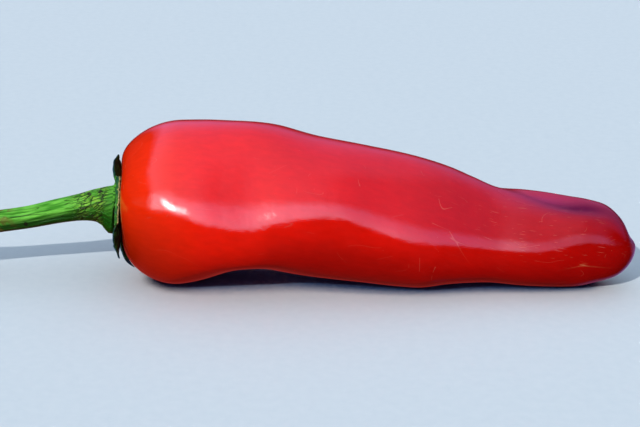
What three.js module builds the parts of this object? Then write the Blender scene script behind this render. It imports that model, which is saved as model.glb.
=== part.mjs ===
// A ripe jalapeno pepper lying on its side: a red pod with soft lobes and a blunt tip, a ragged
// calyx on its shoulder, and the green stalk that it hung from.
// Millimetres, +Z up. +X runs from the stalk to the blossom end, and the pod rests on Z = 0.
// Round the pod, the calyx and the stalk alike, an angle of 0 points up, 90 to -Y, 180 down and
// 270 to +Y.
import * as THREE from 'three';

// Driving sizes
const POD_LENGTH = 85;
const POD_RADIUS = 13.5;
const CALYX_RADIUS = 6.6;
const CALYX_EDGE = 0.65;
const CALYX_MIDDLE = 0.9;
const STALK_LENGTH = 28;
const STALK_RADIUS = 1.82;
const PIECE_GAP = 0.3;

// Where the middle of the shoulder stands in the part's own frame, whose origin is under the
// middle of the whole pepper.
const SHOULDER_X = -27.7;
const SHOULDER_Y = 0.3;

// Facets
const POD_SIDES = 56;
const POD_DISC_STEPS = 3;
const POD_CAP_STEPS = 8;
const POD_BODY_STEPS = 40;
const CALYX_SIDES = 96;
const CALYX_STEPS = 7;
const STALK_SIDES = 20;
const STALK_STEPS = 30;

const RED = new THREE.MeshStandardMaterial({ color: 0xc4100c, roughness: 0.22, metalness: 0 });
const OLIVE = new THREE.MeshStandardMaterial({ color: 0x2e4a1c, roughness: 0.7, metalness: 0 });
const GREEN = new THREE.MeshStandardMaterial({ color: 0x4f9a2c, roughness: 0.5, metalness: 0 });

// The shoulder is a flat disc with a rounded rim, and the tip is a rounded cap.
const SHOULDER_FLAT = 0.44 * POD_RADIUS;
const SHOULDER_CAP = 9.6;
const TIP_CAP = 9.8;

// The shoulder swells in four low lobes round the calyx, the front one at this angle. The top one
// is a hump, with its place as a share of the radius, and the middle is dished.
const SHOULDER_LOBES = 4;
const SHOULDER_LOBE = 0.2;
const SHOULDER_CREST = 68;
const SHOULDER_HUMP = 0.7;
const SHOULDER_HUMP_ANGLE = 340;
const SHOULDER_HUMP_WIDTH = 35;
const SHOULDER_HUMP_SHARE = 0.64;
const SHOULDER_HUMP_SPREAD = 0.2;
const SHOULDER_DISH = 0.25;
const SHOULDER_DISH_SPREAD = 0.5;

const POD_LOBES = 3;

// The blossom end is dented above its blunt point: the dent's depth, its angle and half width in
// degrees, where it lies between the point and the rim of the tip's cap, and how far the point keeps
// it away.
const TIP_DENT = 0.8;
const TIP_DENT_ANGLE = -18;
const TIP_DENT_WIDTH = 58;
const TIP_DENT_SHARE = 0.35;
const TIP_DENT_SPREAD = 0.2;
const TIP_POINT_SPREAD = 0.12;

// The groove along the top of the tip half: the place of its middle along the pod and its angle
// there, how many degrees it turns to the front per mm, its depth, and its spread along the pod and
// round it.
const GROOVE_AT = 69;
const GROOVE_ANGLE = -6;
const GROOVE_TURN = 2.6;
const GROOVE_DEPTH = 1.0;
const GROOVE_LONG = 6.5;
const GROOVE_WIDE = 1.9;

// Stations along the pod. Each row: place as a share of the pod's length; radius, height of the
// axis and sideways place of the axis as shares of the pod's radius; height of the lobes as a
// share of the radius there; and the angle in degrees of the front lobe's crest.
const POD_STATIONS = [
  [0.0, 1.0, 0.985, 0.0, 0.015, 80],
  [0.1, 1.008, 0.99, 0.0, 0.025, 78],
  [0.155, 0.992, 1.003, 0.0, 0.035, 84],
  [0.207, 0.957, 1.02, 0.0, 0.04, 92],
  [0.256, 0.93, 1.025, 0.0, 0.045, 96],
  [0.316, 0.905, 1.012, -0.01, 0.045, 86],
  [0.411, 0.865, 0.935, -0.01, 0.045, 76],
  [0.474, 0.843, 0.87, 0.0, 0.045, 79],
  [0.532, 0.828, 0.805, 0.01, 0.045, 84],
  [0.582, 0.8, 0.75, 0.02, 0.045, 89],
  [0.633, 0.727, 0.718, 0.03, 0.05, 91],
  [0.68, 0.655, 0.668, 0.04, 0.055, 90],
  [0.722, 0.604, 0.625, 0.04, 0.06, 88],
  [0.781, 0.595, 0.59, 0.04, 0.06, 86],
  [0.826, 0.58, 0.575, 0.04, 0.055, 82],
  [0.878, 0.55, 0.568, 0.03, 0.05, 74],
  [0.93, 0.518, 0.573, 0.02, 0.04, 70],
  [1.0, 0.498, 0.53, 0.0, 0.02, 70],
];

// Dents and swellings of the skin: distance from the stalk end, angle, height (below zero for a
// dent), and spread along the pod and round it, in mm and degrees.
const POD_BUMPS = [
  { at: 46, angle: 150, height: -0.12, along: 7, around: 4 },
  { at: 14, angle: 92, height: 0.4, along: 4, around: 5 },
  { at: 80.2, angle: -11, height: 0.34, along: 1.3, around: 4.6 },
  { at: 20.5, angle: 165, height: -1.1, along: 4.8, around: 6 },
  { at: 34, angle: 150, height: -0.2, along: 4, around: 5 },
  { at: 25, angle: -40, height: 0.5, along: 4, around: 3 },
  { at: 30, angle: -20, height: -0.35, along: 3.5, around: 7 },
  { at: 65, angle: -32, height: 0.3, along: 3.8, around: 4 },
  { at: 9, angle: 97, height: -0.3, along: 5, around: 4 },
  { at: 9, angle: 56, height: 0.2, along: 5, around: 5 },
  { at: 19.5, angle: 78, height: -0.32, along: 6, around: 3.6 },
  { at: 20, angle: 117, height: 0.6, along: 4.5, around: 3.8 },
  { at: 35.5, angle: 56, height: 0.35, along: 5, around: 3.6 },
  { at: 35.5, angle: 93, height: -0.35, along: 5, around: 3.6 },
  { at: 44, angle: 70, height: -0.25, along: 4, around: 3.5 },
  { at: 56, angle: 70, height: -0.25, along: 5, around: 3.5 },
  { at: 76, angle: 42, height: 0.5, along: 3.5, around: 2.5 },
  { at: 75.5, angle: 90, height: -0.5, along: 3.5, around: 2.5 },
  { at: 82.5, angle: 158, height: 0.4, along: 1.8, around: 5 },
];

// The underside is pressed flat where it lies: how far it would sink in, and how deep the rounded
// rim of the flat spots is.
const PRESSED = 0.15;
const REST_RIM = 0.12;

// The sepals' teeth: angle, reach from the middle of the calyx as a share of its radius, and half
// width in degrees.
const CALYX_TEETH = [
  { angle: -20, reach: 1.32, width: 17 },
  { angle: 30, reach: 1, width: 26 },
  { angle: 82, reach: 0.98, width: 24 },
  { angle: 145, reach: 1.32, width: 24 },
  { angle: 180, reach: 1.62, width: 11 },
  { angle: 232, reach: 1.15, width: 22 },
  { angle: 285, reach: 1.3, width: 20 },
];
const CALYX_NOTCH = 0.82;
const CALYX_DROP = 1.0;

// How round the teeth are: 1 gives straight sides, and less gives sides that swell.
const CALYX_TOOTH_POWER = 0.8;

// Where the calyx's edge curls away from the pod: angle, how far in mm (below zero where it bends
// back), half width in degrees, and how much of it is at the very edge, as a power of the share.
const CALYX_CURLS = [
  { angle: -10, lift: 1.2, width: 12, power: 2 },
  { angle: -22, lift: -0.5, width: 9, power: 6 },
  { angle: 124, lift: 1.1, width: 17, power: 3 },
  { angle: 152, lift: 0.7, width: 12, power: 3 },
  { angle: 180, lift: 1.4, width: 5, power: 4 },
  { angle: 240, lift: 0.7, width: 22, power: 3 },
  { angle: 290, lift: 0.5, width: 20, power: 3 },
];

// Stations along the stalk from its foot. Each row: distance as a share of its length, radius as a
// share of the stalk's radius, height of its middle above the surface and sideways place in mm.
const STALK_STATIONS = [
  [0.0, 2.3, 12.1, 0.0],
  [0.03, 2.02, 12.3, 0.0],
  [0.06, 1.76, 12.45, 0.0],
  [0.11, 1.48, 12.5, 0.0],
  [0.2, 1.22, 12.2, -0.1],
  [0.32, 1.1, 11.6, -0.3],
  [0.5, 1.0, 10.6, -0.8],
  [0.68, 1.0, 9.9, -1.3],
  [0.88, 1.06, 9.3, -2.2],
  [1.0, 1.22, 9.0, -2.8],
];
const STALK_RIDGES = 5;
const STALK_RIDGE = 0.04;

// The cut end's worn edge: where it starts as a share of the length, and how far it narrows.
const STALK_BEVEL_START = 0.99;
const STALK_BEVEL = 0.8;

// The stalk's rings crowd towards its flared foot by this power.
const STALK_CROWDING = 1.5;

const radians = THREE.MathUtils.degToRad;

// The row at place x of a smooth curve through rows that are sorted by their first number.
function rowAt(rows, x) {
  const after = rows.findIndex((row) => row[0] > x);
  const i = after < 0 ? rows.length - 2 : Math.max(after - 1, 0);
  const [a, b] = [rows[i], rows[i + 1]];
  const [before, beyond] = [rows[Math.max(i - 1, 0)], rows[Math.min(i + 2, rows.length - 1)]];
  const span = b[0] - a[0];
  const t = (x - a[0]) / span;
  return a.map((value, k) => {
    const slopeA = ((b[k] - before[k]) / (b[0] - before[0])) * span;
    const slopeB = ((beyond[k] - value) / (beyond[0] - a[0])) * span;
    const rise = b[k] - value;
    return value + slopeA * t + (3 * rise - 2 * slopeA - slopeB) * t * t
      + (slopeA + slopeB - 2 * rise) * t * t * t;
  });
}

// The difference of two angles in degrees, from -180 to 180.
function turn(a, b) {
  return THREE.MathUtils.euclideanModulo(a - b + 180, 360) - 180;
}

// A smooth hill that is 1 at 0 and has faded at 2 or so.
function hill(distance) {
  return Math.exp(-distance * distance / 2);
}

// Height above the surface of a point at height z, with what would sink in pressed flat.
function pressed(z) {
  if (z >= REST_RIM) return z;
  return z <= -REST_RIM ? 0 : (z + REST_RIM) ** 2 / (4 * REST_RIM);
}

// How far the shoulder swells towards the stalk, at a place on the shoulder's cap.
function shoulderSwell(x, share, angle) {
  const fade = Math.max(1 - x / SHOULDER_CAP, 0) ** 2;
  const lobes = share * Math.cos(SHOULDER_LOBES * radians(angle - SHOULDER_CREST));
  const beside = hill(turn(angle, SHOULDER_HUMP_ANGLE) / SHOULDER_HUMP_WIDTH);
  const hump = beside * hill((share - SHOULDER_HUMP_SHARE) / SHOULDER_HUMP_SPREAD);
  const dish = hill(share / SHOULDER_DISH_SPREAD);
  return fade * (SHOULDER_LOBE * lobes + SHOULDER_HUMP * hump - SHOULDER_DISH * dish);
}

// How far the blossom end is pushed in along X, at a place on the tip's cap.
function tipDent(x, share, angle) {
  const fade = THREE.MathUtils.clamp((x - POD_LENGTH + TIP_CAP) / TIP_CAP, 0, 1);
  const beside = hill(turn(angle, TIP_DENT_ANGLE) / TIP_DENT_WIDTH);
  const point = 1 - hill(share / TIP_POINT_SPREAD);
  return TIP_DENT * fade * beside * point * hill((share - TIP_DENT_SHARE) / TIP_DENT_SPREAD);
}

// How deep the groove is at a place on the skin, from 0 to 1.
function groove(x, angle, round) {
  const middle = GROOVE_ANGLE + GROOVE_TURN * (x - GROOVE_AT);
  const side = radians(turn(angle, middle)) * round;
  return hill((x - GROOVE_AT) / GROOVE_LONG) * hill(side / GROOVE_WIDE);
}

// A point of the pod's skin: x from the stalk end, share of the section's radius, and angle.
function podPoint(x, share, angle) {
  const [, radius, height, side, lobe, crest] = rowAt(POD_STATIONS, x / POD_LENGTH);
  const round = radius * POD_RADIUS * (1 + lobe * Math.cos(POD_LOBES * radians(angle - crest)));
  let reach = round * share;
  for (const bump of POD_BUMPS) {
    const around = radians(turn(angle, bump.angle)) * round;
    reach += share * bump.height * hill((x - bump.at) / bump.along) * hill(around / bump.around);
  }
  reach -= share * GROOVE_DEPTH * groove(x, angle, round);
  const y = side * POD_RADIUS - reach * Math.sin(radians(angle));
  const z = height * POD_RADIUS + reach * Math.cos(radians(angle)) - PRESSED;
  const along = x - shoulderSwell(x, share, angle) - tipDent(x, share, angle);
  return new THREE.Vector3(along, y, pressed(z));
}

// The rings of the pod: place along it and share of the section's radius there.
function podRings() {
  const rings = [];
  const flat = SHOULDER_FLAT / POD_RADIUS;
  for (let i = 0; i <= POD_DISC_STEPS; i++) {
    rings.push([0, flat * i / POD_DISC_STEPS]);
  }
  for (let i = 1; i <= POD_CAP_STEPS; i++) {
    const a = Math.PI / 2 * i / POD_CAP_STEPS;
    rings.push([SHOULDER_CAP * (1 - Math.cos(a)), flat + (1 - flat) * Math.sin(a)]);
  }
  for (let i = 1; i <= POD_BODY_STEPS; i++) {
    rings.push([SHOULDER_CAP + (POD_LENGTH - SHOULDER_CAP - TIP_CAP) * i / POD_BODY_STEPS, 1]);
  }
  for (let i = 1; i <= POD_CAP_STEPS; i++) {
    const a = Math.PI / 2 * i / POD_CAP_STEPS;
    rings.push([POD_LENGTH - TIP_CAP * (1 - Math.sin(a)), Math.cos(a)]);
  }
  return rings;
}

// A closed skin over rings of points. The first and the last ring are single points, and the
// rings' angles run from up towards -Y, seen in the direction of the rings' order.
function skin(rings) {
  const positions = [];
  const starts = [];
  for (const ring of rings) {
    starts.push(positions.length / 3);
    ring.forEach((p) => positions.push(p.x, p.y, p.z));
  }
  const sides = rings[1].length;
  const faces = [];
  for (let r = 0; r + 1 < rings.length; r++) {
    for (let s = 0; s < sides; s++) {
      const near = (k) => starts[r] + (rings[r].length === 1 ? 0 : k % sides);
      const far = (k) => starts[r + 1] + (rings[r + 1].length === 1 ? 0 : k % sides);
      if (rings[r].length > 1) faces.push(near(s), near(s + 1), far(s));
      if (rings[r + 1].length > 1) faces.push(near(s + 1), far(s + 1), far(s));
    }
  }
  const geometry = new THREE.BufferGeometry();
  geometry.setAttribute('position', new THREE.Float32BufferAttribute(positions, 3));
  geometry.setIndex(faces);
  geometry.computeVertexNormals();
  return geometry;
}

// A ring of points, one for each of so many even angles.
function ringOf(sides, pointAt) {
  return Array.from({ length: sides }, (_, s) => pointAt(s * 360 / sides));
}

function podGeometry() {
  const rings = podRings();
  return skin(rings.map(([x, share], i) => {
    const sides = i === 0 || i === rings.length - 1 ? 1 : POD_SIDES;
    return ringOf(sides, (angle) => podPoint(x, share, angle));
  }));
}

// Where the shoulder's skin is along X, behind a point at y and z of the shoulder's own frame.
function shoulderX(y, z) {
  const [up, radius] = [z - POD_STATIONS[0][2] * POD_RADIUS, POD_RADIUS];
  const share = Math.hypot(y, up) / radius;
  const flat = SHOULDER_FLAT / radius;
  const over = Math.max(share - flat, 0) / (1 - flat);
  const x = SHOULDER_CAP * (1 - Math.sqrt(1 - over * over));
  return x - shoulderSwell(x, share, THREE.MathUtils.radToDeg(Math.atan2(-y, up)));
}

// How far the calyx reaches at an angle.
function calyxReach(angle) {
  let reach = CALYX_NOTCH;
  for (const tooth of CALYX_TEETH) {
    const share = Math.max(1 - Math.abs(turn(angle, tooth.angle)) / tooth.width, 0);
    const swollen = share ** CALYX_TOOTH_POWER;
    reach = Math.max(reach, CALYX_NOTCH + (tooth.reach - CALYX_NOTCH) * swollen);
  }
  return reach * CALYX_RADIUS;
}

// How far the calyx stands off the pod at a share of the way out to its edge.
function calyxLift(share, angle) {
  return CALYX_CURLS.reduce((lift, curl) => (
    lift + curl.lift * hill(turn(angle, curl.angle) / curl.width) * share ** curl.power
  ), 0);
}

// A point of the calyx at a share of the way out to its edge, with the side of the plate that
// faces the pod at depth 0 and the side that faces the stalk at depth 1.
function calyxPoint(share, angle, depth) {
  const radius = share * calyxReach(angle);
  const y = -radius * Math.sin(radians(angle));
  const z = POD_STATIONS[0][2] * POD_RADIUS - CALYX_DROP + radius * Math.cos(radians(angle));
  const inner = shoulderX(y, z) - PIECE_GAP - calyxLift(share, angle);
  const thickness = CALYX_EDGE + (CALYX_MIDDLE - CALYX_EDGE) * (1 - share * share);
  return new THREE.Vector3(inner - depth * thickness, y, z);
}

function calyxGeometry() {
  const rings = [];
  for (let i = 0; i <= CALYX_STEPS; i++) {
    const sides = i === 0 ? 1 : CALYX_SIDES;
    rings.push(ringOf(sides, (angle) => calyxPoint(i / CALYX_STEPS, angle, 1)));
  }
  for (let i = CALYX_STEPS; i >= 0; i--) {
    const sides = i === 0 ? 1 : CALYX_SIDES;
    rings.push(ringOf(sides, (angle) => calyxPoint(i / CALYX_STEPS, angle, 0)));
  }
  return skin(rings);
}

// The middle of the stalk at a share of its length from the foot, before any gap.
function stalkMiddle(share) {
  const [, , height, side] = rowAt(STALK_STATIONS, share);
  return new THREE.Vector3(-share * STALK_LENGTH, side, height);
}

// A ring of the stalk, square to its line, with low ridges along it.
function stalkRing(share, scale) {
  const middle = stalkMiddle(share);
  const step = 0.01;
  const ahead = stalkMiddle(Math.min(share + step, 1)).sub(stalkMiddle(Math.max(share - step, 0)));
  const along = share === 0 ? new THREE.Vector3(-1, 0, 0) : ahead.normalize();
  const across = new THREE.Vector3(0, 0, 1).cross(along).normalize();
  const up = along.clone().cross(across);
  const radius = rowAt(STALK_STATIONS, share)[1] * STALK_RADIUS * scale;
  return (angle) => {
    const ridged = radius * (1 + STALK_RIDGE * Math.cos(STALK_RIDGES * radians(angle)));
    return middle.clone()
      .addScaledVector(up, ridged * Math.cos(radians(angle)))
      .addScaledVector(across, ridged * Math.sin(radians(angle)));
  };
}

function stalkGeometry() {
  const rings = [ringOf(1, stalkRing(1, 0)), ringOf(STALK_SIDES, stalkRing(1, STALK_BEVEL))];
  for (let i = STALK_STEPS; i >= 0; i--) {
    const share = (i / STALK_STEPS) ** STALK_CROWDING * STALK_BEVEL_START;
    rings.push(ringOf(STALK_SIDES, stalkRing(share, 1)));
  }
  rings.push(ringOf(1, stalkRing(0, 0)));
  return skin(rings);
}

function mesh(name, geometry, material) {
  const piece = new THREE.Mesh(geometry, material);
  piece.name = name;
  return piece;
}

const pod = mesh('pod', podGeometry(), RED);
const calyx = mesh('calyx', calyxGeometry(), OLIVE);
const stalk = mesh('stalk', stalkGeometry(), GREEN);
stalk.position.x = -(2 * PIECE_GAP + CALYX_MIDDLE);

const pepper = new THREE.Group();
pepper.add(pod, calyx, stalk);
pepper.position.set(SHOULDER_X, SHOULDER_Y, 0);

export default pepper;
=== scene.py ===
"""The looks of a ripe jalapeno pepper that lies on its side: fine skin, calyx and stalk, their
materials, a plain pale floor, soft studio light and a camera."""

import math

import bpy
import numpy as np
from mathutils import Matrix, Vector


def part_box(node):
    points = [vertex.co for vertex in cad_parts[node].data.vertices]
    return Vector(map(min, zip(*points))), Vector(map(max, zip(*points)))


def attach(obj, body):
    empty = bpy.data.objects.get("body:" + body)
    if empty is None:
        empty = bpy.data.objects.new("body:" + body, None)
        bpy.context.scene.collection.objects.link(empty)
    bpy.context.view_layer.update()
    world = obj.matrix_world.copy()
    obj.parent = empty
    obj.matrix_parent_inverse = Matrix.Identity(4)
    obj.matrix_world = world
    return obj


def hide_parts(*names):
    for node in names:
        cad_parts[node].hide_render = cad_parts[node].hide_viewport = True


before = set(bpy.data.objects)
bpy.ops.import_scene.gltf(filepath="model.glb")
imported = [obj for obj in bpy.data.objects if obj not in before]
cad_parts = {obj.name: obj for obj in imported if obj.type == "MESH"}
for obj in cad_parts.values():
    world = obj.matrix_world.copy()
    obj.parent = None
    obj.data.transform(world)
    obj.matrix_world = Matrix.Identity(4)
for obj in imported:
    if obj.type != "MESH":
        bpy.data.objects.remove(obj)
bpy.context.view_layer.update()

MM = 0.001

POD_LENGTH = 85 * MM
POD_RADIUS = 13.5 * MM

# The pod's frame: its shoulder lies one pod's length before the tip that the frame gives.
SHOULDER_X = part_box("pod")[1].x - POD_LENGTH
SHOULDER_Y = 0.3 * MM
CALYX_RADIUS = 6.6 * MM
CALYX_EDGE = 0.65 * MM
CALYX_TOOTH_EDGE = 0.18 * MM
CALYX_MIDDLE = 0.9 * MM
STALK_LENGTH = 28 * MM
STALK_RADIUS = 1.82 * MM
PIECE_GAP = 0.3 * MM

# How fine the visible meshes are.
POD_SIDES = 256
POD_DISC_STEPS = 10
POD_CAP_STEPS = 36
POD_BODY_STEPS = 190
CALYX_SIDES = 360
CALYX_STEPS = 28
STALK_SIDES = 128
STALK_STEPS = 220

# The shoulder is a flat disc with a rounded rim, and the tip is a rounded cap.
SHOULDER_FLAT = 0.44
SHOULDER_CAP = 9.6 * MM
TIP_CAP = 9.8 * MM

# The shoulder swells in four low lobes round the calyx, the front one at this angle. The top one is
# a hump, with its place as a share of the radius, and the middle is dished.
SHOULDER_LOBES = 4
SHOULDER_LOBE = 0.2 * MM
SHOULDER_CREST = 68
SHOULDER_HUMP = 0.7 * MM
SHOULDER_HUMP_ANGLE = 340
SHOULDER_HUMP_WIDTH = 35
SHOULDER_HUMP_SHARE = 0.64
SHOULDER_HUMP_SPREAD = 0.2
SHOULDER_DISH = 0.25 * MM
SHOULDER_DISH_SPREAD = 0.5

POD_LOBES = 3

# The groove along the top of the tip half: the place of its middle in mm from the stalk end and its
# angle there, how many degrees it turns to the front per mm, its depth in mm, and its spread along
# the pod and round it in mm.
GROOVE_AT = 69
GROOVE_ANGLE = -6
GROOVE_TURN = 2.6
GROOVE_DEPTH = 1.0
GROOVE_LONG = 6.5
GROOVE_WIDE = 1.9

# The blossom end is dented above its blunt point: the dent's depth, its angle and half width in
# degrees, where it lies between the point and the rim of the tip's cap, and how far the point keeps
# it away.
TIP_DENT = 0.8 * MM
TIP_DENT_ANGLE = -18
TIP_DENT_WIDTH = 58
TIP_DENT_SHARE = 0.35
TIP_DENT_SPREAD = 0.2
TIP_POINT_SPREAD = 0.12

# Stations along the pod. Each row: place as a share of the pod's length; radius, height of the
# axis and sideways place of the axis as shares of the pod's radius; height of the lobes as a
# share of the radius there; and the angle in degrees of the front lobe's crest.
POD_STATIONS = np.array([
    [0.0, 1.0, 0.985, 0.0, 0.015, 80],
    [0.1, 1.008, 0.99, 0.0, 0.025, 78],
    [0.155, 0.992, 1.003, 0.0, 0.035, 84],
    [0.207, 0.957, 1.02, 0.0, 0.04, 92],
    [0.256, 0.93, 1.025, 0.0, 0.045, 96],
    [0.316, 0.905, 1.012, -0.01, 0.045, 86],
    [0.411, 0.865, 0.935, -0.01, 0.045, 76],
    [0.474, 0.843, 0.87, 0.0, 0.045, 79],
    [0.532, 0.828, 0.805, 0.01, 0.045, 84],
    [0.582, 0.8, 0.75, 0.02, 0.045, 89],
    [0.633, 0.727, 0.718, 0.03, 0.05, 91],
    [0.68, 0.655, 0.668, 0.04, 0.055, 90],
    [0.722, 0.604, 0.625, 0.04, 0.06, 88],
    [0.781, 0.595, 0.59, 0.04, 0.06, 86],
    [0.826, 0.58, 0.575, 0.04, 0.055, 82],
    [0.878, 0.55, 0.568, 0.03, 0.05, 74],
    [0.93, 0.518, 0.573, 0.02, 0.04, 70],
    [1.0, 0.498, 0.53, 0.0, 0.02, 70],
])

# Dents and swellings of the skin: distance from the stalk end in mm, angle, height in mm (below
# zero for a dent), and spread along the pod and round it in mm.
POD_BUMPS = [
    (46, 150, -0.12, 7, 4),
    (14, 92, 0.4, 4, 5),
    (80.2, -11, 0.34, 1.3, 4.6),
    (20.5, 165, -1.1, 4.8, 6),
    (34, 150, -0.2, 4, 5),
    (25, -40, 0.5, 4, 3),
    (30, -20, -0.35, 3.5, 7),
    (65, -32, 0.3, 3.8, 4),
    (9, 97, -0.3, 5, 4),
    (9, 56, 0.2, 5, 5),
    (19.5, 78, -0.32, 6, 3.6),
    (20, 117, 0.6, 4.5, 3.8),
    (35.5, 56, 0.35, 5, 3.6),
    (35.5, 93, -0.35, 5, 3.6),
    (44, 70, -0.25, 4, 3.5),
    (56, 70, -0.25, 5, 3.5),
    (76, 42, 0.5, 3.5, 2.5),
    (75.5, 90, -0.5, 3.5, 2.5),
    (82.5, 158, 0.4, 1.8, 5),
]

# The scar at the blossom end: its distance from the stalk end in mm, its angle, and its rays'
# bearings, lengths in mm and strengths.
SCAR_AT = 75.5
SCAR_ANGLE = 103
SCAR_RAY_WIDTH = 0.06
SCAR_RAYS = [
    (13, 0.5, 1.0),
    (16, 2.4, 0.3),
    (-30, 0.35, 1.0),
    (95, 0.3, 1.0),
    (172, 0.45, 1.0),
    (168, 1.6, 0.25),
    (215, 0.3, 1.0),
    (280, 0.25, 0.8),
]

# The pale purple patch in the groove, a painted reflection of the sky, and the dark patch at its end,
# whose purple is painted reflection too. Each has its distance from the stalk end in mm, its angle,
# and its spread along the pod and round it in mm.
GROOVE_REFLECTION = (70, 0, 5.5, 2.2)
GROOVE_DARK_PATCH = (75.5, 13, 4.4, 1.7)

# The underside is pressed flat where it lies: how far it would sink in, and how deep the rounded
# rim of the flat spots is.
PRESSED = 0.15 * MM
REST_RIM = 0.12 * MM

# The sepals' teeth: angle, reach from the middle of the calyx as a share of its radius, and half
# width in degrees.
CALYX_TEETH = [
    (-20, 1.32, 17),
    (30, 1.0, 26),
    (82, 0.98, 24),
    (145, 1.32, 24),
    (180, 1.62, 11),
    (232, 1.15, 22),
    (285, 1.3, 20),
]

# A tooth narrows towards its tip by this power. Between the teeth the calyx reaches to a share of its
# radius, and its middle lies a little lower than the shoulder's.
CALYX_TOOTH_POWER = 0.8
CALYX_NOTCH = 0.82
CALYX_DROP = 1.0 * MM

# The calyx's ragged edge: how far it strays, how many waves go round in each of its lines, and the
# range of their sizes. It also lifts off the pod, down to a lowest share, and more towards its edge,
# by a power.
CALYX_RAGGED = 0.12 * MM
RAGGED_WAVES = (17, 23, 31, 43, 59)
RAGGED_SIZES = (0.5, 1)
RAGGED_LOWEST = -0.5
RAGGED_POWER = 6

# The calyx is fleshy about this angle, so many degrees to each side, and as thin as paper elsewhere.
CALYX_FLESHY_ANGLE = 50
CALYX_FLESHY_WIDTH = 45
CALYX_FLESHY_FADE = 7

# Where the calyx's edge curls away from the pod: angle, how far in mm (below zero where it bends
# back), half width in degrees, and how much of it is at the very edge, as a power of the share.
CALYX_CURLS = [
    (-10, 1.2, 12, 2),
    (-22, -0.5, 9, 6),
    (124, 1.1, 17, 3),
    (152, 0.7, 12, 3),
    (180, 1.4, 5, 4),
    (240, 0.7, 22, 3),
    (290, 0.5, 20, 3),
]

# Stations along the stalk from its foot. Each row: distance as a share of its length, radius as a
# share of the stalk's radius, height of its middle above the surface and sideways place in mm.
STALK_STATIONS = np.array([
    [0.0, 2.3, 12.1, 0.0],
    [0.03, 2.02, 12.3, 0.0],
    [0.06, 1.76, 12.45, 0.0],
    [0.11, 1.48, 12.5, 0.0],
    [0.2, 1.22, 12.2, -0.1],
    [0.32, 1.1, 11.6, -0.3],
    [0.5, 1.0, 10.6, -0.8],
    [0.68, 1.0, 9.9, -1.3],
    [0.88, 1.06, 9.3, -2.2],
    [1.0, 1.22, 9.0, -2.8],
])

STALK_RIDGES = 5
STALK_RIDGE = 0.04

# Finer wrinkles: how many go round, their height as a share of the radius, the range of their sizes,
# how many radians they drift to either side along the stalk, and the radians in a full turn.
STALK_WAVES = (7, 11, 14, 19, 26)
STALK_WRINKLE = 0.011
STALK_SIZES = (0.4, 1)
STALK_DRIFT = 9
FULL_TURN = 6.28
STALK_SEED = 4

# The stalk's direction at a place is taken between points so far to either side, as a share.
STALK_STEP = 0.01

# The cut end's worn edge: where it starts as a share of the length, and how far it narrows.
STALK_BEVEL_START = 0.99
STALK_BEVEL = 0.8

# The stalk's rings crowd towards its flared foot by this power.
STALK_CROWDING = 1.5

BLACK = (0.0, 0.0, 0.0)
WHITE = (1.0, 1.0, 1.0)

# The skin's red and its gloss, at distances from the stalk end in mm.
SKIN_REDS = [
    (0, (0.68, 0.022, 0.001)),
    (6, (0.7, 0.016, 0.001)),
    (14, (0.68, 0.007, 0.0005)),
    (30, (0.62, 0.004, 0.0005)),
    (48, (0.55, 0.003, 0.0005)),
    (65, (0.42, 0.002, 0.0005)),
    (85, (0.32, 0.001, 0.0005)),
]
SKIN_GLOSS = [
    (56, (0.55, 0.55, 0.55)),
    (68, (0.36, 0.36, 0.36)),
    (76, (0.3, 0.3, 0.3)),
    (82, (0.5, 0.5, 0.5)),
]
SKIN_MOTTLE = (0.86, 1.14)
SKIN_ROUGH = (0.07, 0.17)
SKIN_BUMP = 0.02 * MM

# How dark the skin's painted shade is, and how strong its pale marks and its painted reflection in
# the groove.
TIP_SHADE = (0.02, 0.1)
SHOULDER_SHADE = 0.42
WAIST_SHADE = 0.28
GROOVE_REFLECTION_STRENGTH = 0.7
HAIR_STRENGTH = 0.6
MARK_STRENGTH = 0.38
GROOVE_REFLECTION_PINK = (0.27, 0.035, 0.13)
GROOVE_DARK_PURPLE = (0.1, 0.001, 0.03)
MARK_PINK = (0.75, 0.2, 0.13)
SCAR_TAN = (0.5, 0.16, 0.07)

# Thin lines follow a noise where it has this level. A second noise, of so many waves per unit,
# leaves parts of them out, with ends that fade over so much of its height.
HAIRLINE_LEVEL = 0.57
HAIRLINE_GAPS = 1.7
HAIRLINE_END = 0.03

# The calyx's and the stalk's specular level.
DULL = 0.2

CALYX_GREENS = ((0.006, 0.05, 0.02), (0.05, 0.2, 0.02))
# Painted shade: dark olive on the side that faces the pod, dusky blue towards the teeth's tips, and
# navy on the longest teeth.
CALYX_SHADE_OLIVES = ((0.002, 0.014, 0.002), (0.012, 0.04, 0.004))
CALYX_SHADE_BLUES = ((0.003, 0.02, 0.035), (0.012, 0.045, 0.07))
CALYX_SHADE_NAVY = (0.003, 0.01, 0.022)
CALYX_CREAM = (0.4, 0.4, 0.17)
CALYX_ROUGH = (0.6, 0.85)
CALYX_BUMP = 0.1 * MM

STALK_GREENS = ((0.03, 0.19, 0.004), (0.13, 0.43, 0.045))
# Painted shade: the green on the stalk's underside and round its flared foot.
STALK_SHADE_GREEN = (0.002, 0.035, 0.0005)
FLARE_SHADE_GREEN = (0.004, 0.06, 0.001)
STALK_LINE = (0.006, 0.03, 0.002)
STALK_SCALE = (0.24, 0.42, 0.04)
STALK_CRACK = (0.012, 0.014, 0.002)
STALK_END = (0.09, 0.06, 0.01)
# How strong the painted shade is on the underside and round the foot.
STALK_SHADE = 0.96
FLARE_SHADE = 0.65
LINE_STRENGTH = 0.8
SCALE_STRENGTH = 0.5
END_STRENGTH = 0.7
STALK_ROUGH = (0.35, 0.6)
STALK_BUMP = 0.18 * MM

# The net of cracks: its cells per mm along the stalk and round it, how far it is bent, and where its
# cracks end and its scales begin, as distances from the cells' edges.
NET_CELLS = (0.8, 2.1)
NET_BEND = 1.1
CRACK_EDGE = (0.035, 0.13)
SCALE_EDGE = (0.06, 0.2)

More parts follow.
